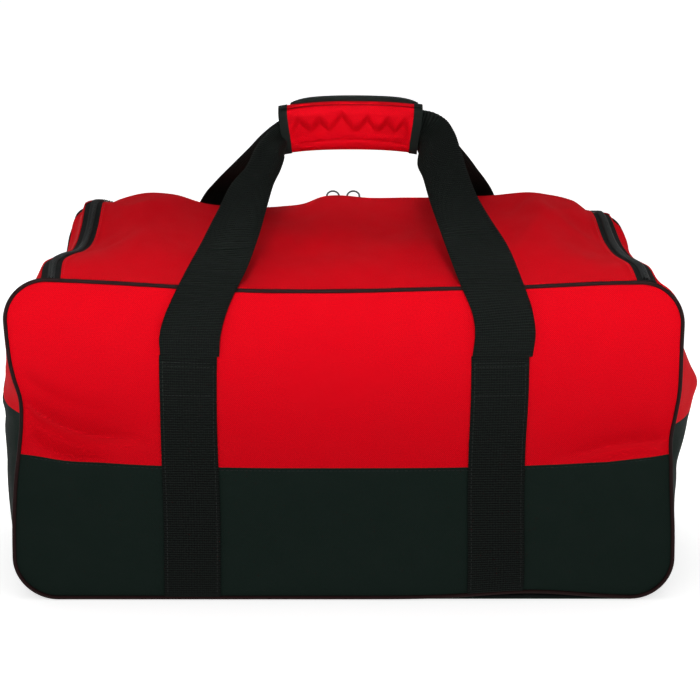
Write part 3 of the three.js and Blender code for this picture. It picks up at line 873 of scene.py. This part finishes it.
def make_zip(m):
    """Each half of the zip: its tape, as offsets and lifts from the middle, and its half of the coil."""
    tapes = {"body": ([0.4, 3.0, 6.0, 9.0, 10.2], [-0.5, -0.4, -0.7, -1.0, -1.3]),
             "lid": ([-12.5, -9.0, -6.0, -3.0, -0.4], [-1.9, -1.0, -0.7, -0.4, -0.5])}
    for name, sign in (("body", 1), ("lid", -1)):
        rows, uv = zip_strip(*tapes[name])
        tape = shell(f"{name}_zip_cloth", rows, 0.7, uv, [m["tape"]])
        teeth = joined(f"{name}_zip_coil", teeth_parts(sign), m["coil"], 60.0)
        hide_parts(f"{name}_zip_tape")
        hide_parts(f"{name}_zip_teeth")
        for piece in (tape, teeth):
            ride_zip_side(piece, name)


def ride_zip_side(piece, name):
    if name == "body":
        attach(piece, "bag")
    else:
        over_hinge(piece)


def over_hinge(piece):
    """Bakes the piece's placement into its mesh."""
    low = float(top_height(0.0, -FACE_Y)) * MM
    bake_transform(piece)


def hem_lift(distance):
    """A folded hem is a little thicker than the cloth beyond its stitch line."""
    return 0.7 * (1 - smooth(distance, 2.0, 7.5)) - 0.5 * gauss((distance - 6.2) / 0.9)


def make_lid(m):
    radius = ZIP_CORNER - HEM
    half, turn = ZIP_X - HEM, ZIP_Y - ZIP_CORNER
    t = np.linspace(0, 1, 110)
    y = mix(-FACE_Y + 0.4, turn + radius, mix(t, np.sin(t * np.pi / 2), 0.35))[:, None]
    past = np.maximum(y - turn, 0)
    reach = half - radius + np.sqrt(np.maximum(radius ** 2 - past ** 2, 0))
    s = np.linspace(-1, 1, 150)
    u = mix(s, np.sin(s * np.pi / 2), 0.35)[None, :]
    x = u * reach
    distance = np.minimum((1 - np.abs(u)) * reach, turn + radius - y)
    outer = top_point(x, y + 0 * x, 0.35 + hem_lift(distance))
    uv = np.stack([x * MM, (y + 0 * x) * MM], axis=-1)
    piece = shell("lid_cloth", outer, CLOTH, uv, [m["red"], m["lining"]])
    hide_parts("lid_panel")
    over_hinge(piece)


def make_rear_strip(m):
    outer_radius = ZIP_CORNER + HEM
    cx, cy = ZIP_X - ZIP_CORNER, ZIP_Y - ZIP_CORNER
    limit = ZIP_X + 9.5
    inner = np.linspace(-cx, cx, 120, endpoint=False)
    turn = cx + (limit - cx) * np.sin(np.linspace(0, np.pi / 2, 22))
    x = np.concatenate([-turn[::-1], inner[1:], turn])[None, :]
    past = np.maximum(np.abs(x) - cx, 0)
    start = cy + np.sqrt(np.maximum(outer_radius ** 2 - past ** 2, 0))
    v = np.linspace(0, 1, 26)[:, None]
    y = mix(start, FACE_Y - 0.6, v)
    points = top_point(x + 0 * y, y, 0.35 + hem_lift(y - start))
    uv = np.stack([(x + 0 * y) * MM, y * MM], axis=-1)
    piece = shell("rear_strip_cloth", points, CLOTH, uv, [m["red"], m["lining"]])
    place(piece, "rear_top_strip", "red_fabric", "bag")


def finish_metal(m):
    for name in ("left", "right"):
        for node in (f"slider_{name}_body", f"slider_{name}_bow", f"pull_{name}_ring"):
            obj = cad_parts[node]
            obj.data.materials.clear()
            obj.data.materials.append(m["metal"])


# ---- Webbing and handles -----------------------------------------------------------------------
def ribbon(name, centre_grid, m):
    """A webbing strip from rows of points, with raised ribs across it."""
    normal = grid_normals(centre_grid)
    along = lengths(centre_grid.mean(axis=1))
    columns = centre_grid.shape[1]
    edge = np.minimum(np.arange(columns), np.arange(columns)[::-1])
    body = np.clip(edge, 0, 1)[None, :, None]
    ribs = np.sin(along * 2 * np.pi / RIB)[:, None, None]
    half = normal * (WEBBING / 2 * mix(0.35, 1.0, body) + 0.2 * ribs)
    across = np.linspace(-WEBBING_WIDTH / 2, WEBBING_WIDTH / 2, columns)
    uv = np.stack(np.broadcast_arrays(across[None, :] * MM, along[:, None] * MM), axis=-1)
    return two_faced(name, centre_grid + half, centre_grid - half, uv, m["webbing"])


def two_faced(name, outer, inner, uv, material):
    rows, columns = outer.shape[:2]
    count = rows * columns
    vertices = np.concatenate([outer.reshape(-1, 3), inner.reshape(-1, 3)])
    back = quads(rows, columns, count, True)
    faces = np.concatenate([quads(rows, columns), back, rim_faces(rows, columns)])
    flat = uv.reshape(-1, 2)
    return make_object(name, vertices, faces.tolist(), [material], None, np.concatenate([flat, flat]), 55.0)


def make_stitched(m):
    columns = np.array([-25.5, -24.6, -20, -14, -8, 0, 8, 14, 20, 24.6, 25.5])
    bottom = 4.0
    for word, face in FACES:
        for end, sign in (("left", -1), ("right", 1)):
            z = np.arange(bottom, STITCH_TOP + 0.3, 0.5)[:, None]
            x = sign * STRAP_X + (-face) * columns[None, :] + 0.8 * np.sin(z / 31 + sign)
            grid = face_point(x, z, face, 0.4 + WEBBING / 2)
            strip = ribbon(f"{word}_{end}_strap", grid, m)
            place(strip, f"{word}_{end}_webbing", "webbing", "bag")
            make_strap_stitches(word, face, end, sign, bottom, m)


def make_strap_stitches(word, face, end, sign, bottom, m):
    """Two rows of stitches up each strap and a double bar where the handle leaves it."""
    parts = []
    lift = 0.4 + WEBBING + 0.12
    middle = sign * STRAP_X
    z = np.linspace(bottom + 3, STITCH_TOP - 4, 80)
    for off in (-22.4, 22.4):
        x = middle + off + 0.8 * np.sin(z / 31 + sign)
        parts += stitch_parts(face_point(x, z, face, lift))
    for height in (STITCH_TOP - 6, STITCH_TOP - 9.5, STITCH_TOP - 36):
        x = middle + np.linspace(-22.4, 22.4, 20)
        parts += stitch_parts(face_point(x, np.full(20, height), face, lift), 2.6, 0.6)
    piece = joined(f"{word}_{end}_strap_stitches", parts, m["thread"])
    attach(piece, "bag")


# Each handle's two legs as (outer edge, inner edge) pairs, from the panel up to the grip.
NEAR_LEFT = [
    ((-161, -161.4, 233), (-109, -161.4, 233)), ((-161.5, -161.8, 250), (-108, -161.8, 250)),
    ((-157, -160.5, 268), (-103, -160, 270)), ((-150, -157, 284), (-97, -156.5, 285)),
    ((-138, -147, 307), (-85, -147, 308)), ((-126, -131, 327), (-76, -129, 330)),
    ((-111, -100, 353), (-68, -99, 355)), ((-101, -78, 370), (-63, -77, 370)),
    ((-89, -60, 381), (-58, -62, 379)), ((-80, -37, 396), (-54.5, -46, 388)),
    ((-70, -20, 407), (-55, -27, 389)), ((-61, -10.5, 415), (-54, -11, 391)),
    ((-50, -8.6, 424), (-47, -8.6, 392)), ((-30, -8.4, 429), (-30, -8.4, 392)),
]
NEAR_RIGHT = [
    ((166, -161.4, 233), (113, -161.4, 233)), ((168, -161.8, 255), (115, -161.8, 253)),
    ((164, -158.5, 278), (112, -158.5, 273)), ((157, -154, 297), (102, -153, 296)),
    ((143, -131, 328), (90, -133, 325)), ((131, -112, 344), (83, -114, 342)),
    ((119, -88, 362), (76, -90, 360)), ((112, -66, 378), (71.5, -71, 374)),
    ((106, -40, 396), (67, -54, 383)), ((101, -23, 409), (68, -37, 388)),
    ((94, -13, 418), (70, -22, 391)), ((84, -10, 424), (71, -12, 392)),
    ((70, -8.6, 427), (64, -8.6, 392)), ((42, -8.4, 429), (42, -8.4, 392)),
]
FAR_LEFT = [
    ((-162, 161.4, 233), (-111, 161.4, 233)), ((-161, 161.6, 255), (-110, 161.6, 255)),
    ((-156, 158.5, 282), (-105, 158.5, 282)), ((-147, 147, 306), (-96, 147, 306)),
    ((-139, 130, 321), (-88, 130, 320)), ((-130, 108, 334), (-78, 108, 331)),
    ((-118, 82, 350), (-68, 84, 346)), ((-105, 58, 366), (-62, 62, 360)),
    ((-90, 36, 384), (-58, 40, 373)), ((-76, 16, 401), (-55, 20, 384)),
    ((-64, 3, 412), (-54, 4, 390)), ((-50, -3.2, 422), (-47, -3.2, 392)),
    ((-30, -3.4, 429), (-30, -3.4, 392)),
]
FAR_RIGHT = [
    ((162, 161.4, 233), (111, 161.4, 233)), ((162, 161.6, 255), (111, 161.6, 255)),
    ((159, 158.5, 282), (108, 158.5, 282)), ((154, 147, 307), (103, 147, 306)),
    ((148, 130, 323), (97, 130, 322)), ((140, 108, 338), (90, 108, 335)),
    ((130, 82, 354), (82, 84, 350)), ((120, 58, 370), (76, 62, 362)),
    ((108, 36, 387), (72, 40, 374)), ((97, 16, 404), (69, 20, 385)), ((86, 3, 417), (68, 4, 391)),
    ((70, -3.2, 426), (64, -3.2, 392)), ((42, -3.4, 429), (42, -3.4, 392)),
]


def handle_grid(left, right, face):
    """Rows of points across one handle's whole loop, from the left panel to the right one."""
    def leg(pairs):
        return np.array([[*outer, *inner] for outer, inner in pairs], float)
    edges = np.concatenate([leg(left), leg(right)[::-1]])
    length = np.linalg.norm(np.diff(edges[:, :3], axis=0), axis=1).sum()
    fine = through(edges, int(length / 0.5))
    outer, inner = fine[:, :3], fine[:, 3:]
    columns = np.array([0.0, 0.018, 0.09, 0.18, 0.28, 0.39, 0.5, 0.61, 0.72, 0.82, 0.91, 0.982, 1.0])
    grid = outer[:, None] + (inner - outer)[:, None] * columns[None, :, None]
    width = np.linalg.norm(inner - outer, axis=1)
    spare = np.clip(WEBBING_WIDTH - width, 0, None)
    cup = np.minimum(np.sqrt(spare * 3 * width / 8), 7.0)
    normal = grid_normals(grid)
    in_grip = smooth(np.abs(fine[:, 0] - GRIP_X), GRIP_HALF - 8, GRIP_HALF + 10)
    bow = (1 - (2 * columns - 1) ** 2)[None, :]
    near_grip = in_grip * (1 - smooth(np.abs(fine[:, 0] - GRIP_X), GRIP_HALF + 14, GRIP_HALF + 44))
    pleat = np.sin(columns * 2 * np.pi * 1.5 + 0.7)[None, :] * near_grip[:, None] * 1.7
    lift = (cup * in_grip)[:, None] * bow * 0.8 + pleat
    grid = grid + normal * lift[..., None]
    return grid if face < 0 else grid[:, ::-1]


def make_handles(m):
    for word, body, left, right, face in (
        ("near", "near_handle", NEAR_LEFT, NEAR_RIGHT, -1), ("far", "far_handle", FAR_LEFT, FAR_RIGHT, 1),
    ):
        strip = ribbon(f"{word}_handle_strap", handle_grid(left, right, face), m)
        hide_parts(f"{word}_handle_webbing")
        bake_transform(strip)


# ---- Padded grip -------------------------------------------------------------------------------
def section_wrap():
    """Cross-section of the wrap, front wall and bottom, as (y, z) from the grip's middle."""
    return through([
        (-12.2, 12), (-11.9, 2), (-10.9, -7), (-10.6, -12), (-9.4, -17), (-5.5, -20.4), (2, -21.2),
        (8, -20.6), (8.6, -19.6), (5, -19), (0, -18.6), (-3.6, -17.4), (-4.9, -13), (-4.9, 0),
        (-4.9, 14), (-5.2, 18.6), (-7.2, 21), (-9.6, 21.2), (-11.6, 18.8), (-12.2, 12),
    ], 81)[:-1]


def section_flap():
    """Cross-section of the flap: back wall and top, which meets the front wall at its upper edge."""
    return through([
        (5, -8), (5, -15.5), (6, -18), (9, -18.4), (11.6, -16.6), (12.3, -10), (12.3, 6), (11.4, 15),
        (8, 21), (2, 23.6), (-4, 24), (-8.4, 23.4), (-10, 22.4), (-9.2, 21.8), (-6, 21.6), (0, 20.6),
        (4, 18), (5, 12), (5, -8),
    ], 73)[:-1]


def grip_ring(section, x, grow, wrinkle):
    """One ring of a grip piece at x. The grip is arched, with its ends a little lower."""
    tangent = np.roll(section, -1, axis=0) - np.roll(section, 1, axis=0)
    normal = np.stack([tangent[:, 1], -tangent[:, 0]], axis=-1)
    normal /= np.linalg.norm(normal, axis=1, keepdims=True)
    area = np.sum(section[:, 0] * np.roll(section[:, 1], -1) - np.roll(section[:, 0], -1) * section[:, 1])
    normal *= np.sign(area)
    flat = section + normal * grow
    t = (x - GRIP_X) / GRIP_HALF
    arch = 1.2 - 2.6 * t * t
    y, z = flat[:, 0], flat[:, 1]
    lift = wrinkle(x, y, z)
    y, z = y + normal[:, 0] * lift, z + normal[:, 1] * lift
    arch = arch - 1.4 * t * t * t * t - 1.6 * max(-t, 0.0) ** 2 * smooth(z, -5, 20)
    lean = -5.0 * t * smooth(-z, -22, 22)
    return np.stack([x + lean + 0 * y, GRIP_Y + y, GRIP_Z + z - 1.4 + arch], axis=-1)


def no_wrinkle(x, y, z):
    return 0.0 * z


GATHERS = ((-42, 9, 9), (-23, 8, 8), (-2, 11, 13), (22, 8, 9), (41, 7, 7), (56, 6, 8))


def grip_wrinkle(x, y, z):
    """The cloth bulges over the top edge, hangs in pointed gathers and is sewn near the bottom."""
    brink = 1.0 + sum(tip * max(0.0, 1 - abs(x - middle) / width) for middle, width, tip in GATHERS)
    ends = 1 - smooth(abs(x - GRIP_X), GRIP_HALF - 14, GRIP_HALF - 8)
    seam = -11.0 + 2.0 * math.cos((x - GRIP_X) / 24)
    recess = 4.6 * (1 - smooth(z, brink - 5.5, brink + 1.5)) * smooth(z, seam, seam + 4)
    plump = 2.4 * smooth(z, brink - 1, brink + 6) * (1 - smooth(z, 13, 20))
    channel = 1.3 * gauss((z - seam + 1.2) / 1.2) - 1.5 * gauss((z - seam - 0.9) / 1.2)
    outside = smooth(y, -6, -9.5)
    return (plump - recess * (0.35 + 0.65 * ends) - channel) * outside * (0.25 + 0.75 * ends)


def grip_solid(name, section, start, end, grow, wrinkle, material, steps):
    xs = GRIP_X + np.linspace(start, end, steps)
    rings = np.array([grip_ring(section, x, grow, wrinkle) for x in xs])
    count = rings.shape[1]
    around = lengths(rings[0])
    uv = np.stack(np.broadcast_arrays(xs[:, None] * MM, around[None, :] * MM), axis=-1).reshape(-1, 2)
    faces = []
    for i in range(steps - 1):
        for j in range(count):
            k = (j + 1) % count
            faces.append((i * count + j, (i + 1) * count + j, (i + 1) * count + k, i * count + k))
    faces.append(tuple(range(count)))
    faces.append(tuple((steps - 1) * count + j for j in range(count))[::-1])
    return make_object(name, rings.reshape(-1, 3), faces, [material], None, uv, 50.0)


def make_grip(m):
    edge = GRIP_HALF - BINDING
    wrap, flap = section_wrap(), section_flap()
    pad = grip_solid("grip_wrap_pad", wrap, -edge - 2, edge + 2, 0.0, grip_wrinkle, m["red"], 120)
    place(pad, "grip_wrap", "red_fabric", "near_handle")
    cover = grip_solid("grip_flap_pad", flap, -edge - 2, edge + 2, 0.0, back_wrinkle, m["red"], 120)
    place(cover, "grip_flap", "red_fabric", "flap")
    for word, section, body in (("wrap", wrap, "near_handle"), ("flap", flap, "flap")):
        for end, start, stop in (("left", -GRIP_HALF, -edge), ("right", edge, GRIP_HALF)):
            name = f"{word}_binding_{end}"
            piece = grip_solid(f"{name}_tape", section, start, stop, 0.75, no_wrinkle, m["binding"], 12)
            place(piece, name, "binding", body)
    make_grip_trim(m, edge)


def back_wrinkle(x, y, z):
    folds = 0.9 * np.sin(x / 5.3 + 1.0) * gauss(z / 9) + 0.7 * np.sin(x / 8.1) * gauss((z + 8) / 8)
    return folds * smooth(y, 7, 10)


def arched_strip(name, y_range, z_range, span, material, steps=90):
    """A flat strip on the grip that follows its arch and thins towards its ends."""
    (y0, y1), (z0, z1) = y_range, z_range
    section = np.array([(y1, z0), (y1, z1 - 0.3), ((y0 + y1) / 2, z1), (y0, z1 - 0.3), (y0, z0)])
    middle, reach = (span[0] + span[1]) / 2, (span[1] - span[0]) / 2

    def thin(x, y, z):
        return (z > (z0 + z1) / 2) * (z0 - z1) * 0.75 * (abs(x - GRIP_X - middle) / reach) ** 7

    return grip_solid(name, section, *span, 0.0, thin, material, steps)


def make_grip_trim(m, edge):
    lip = (-8.6, -5.6)
    inside, above = (2 - edge, edge - 2), (3 - edge, edge + 4)
    for name, node, slot, body, y_range, z_range, span in (
        ("flap_edge_tape", "flap_edge_band", "binding", "flap", (-3.0, 7.5), (22.4, 28.2), above),
        ("hook_tape", "hook_strip", "hook_and_loop", "near_handle", lip, (20.4, 21.2), inside),
        ("loop_tape", "loop_strip", "hook_and_loop", "flap", lip, (21.0, 21.8), inside),
    ):
        place(arched_strip(name, y_range, z_range, span, m["binding"]), node, slot, body)


# ---- Topstitching ------------------------------------------------------------------------------
def make_topstitching(m):
    place, normal = zip_line()
    for word, sign in (("body", 1), ("lid", -1)):
        flat = place + normal * sign * 11.0
        if sign > 0:
            flat = flat[np.abs(place[:, 0]) < ZIP_X - ZIP_CORNER]
        line = top_point(flat[:, 0], flat[:, 1], 1.15)
        piece = joined(f"{word}_zip_stitches", stitch_parts(line[2:-2]), m["red_thread"])
        ride_zip_side(piece, word)
    for word, face in FACES:
        x = np.linspace(-288, 288, 260)
        z = panel_seam(x) - 2.6
        piece = joined(f"{word}_seam_stitches", stitch_parts(face_point(x, z, face, 0.15)), m["thread"])
        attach(piece, "bag")


def main():
    make_camera()
    make_studio()
    m = make_materials()
    make_panels(m)
    make_piping(m)
    make_ends(m)
    make_bottom(m)
    make_board(m)
    make_lid(m)
    make_rear_strip(m)
    make_zip(m)
    finish_metal(m)
    make_stitched(m)
    make_handles(m)
    make_grip(m)
    make_topstitching(m)


main()
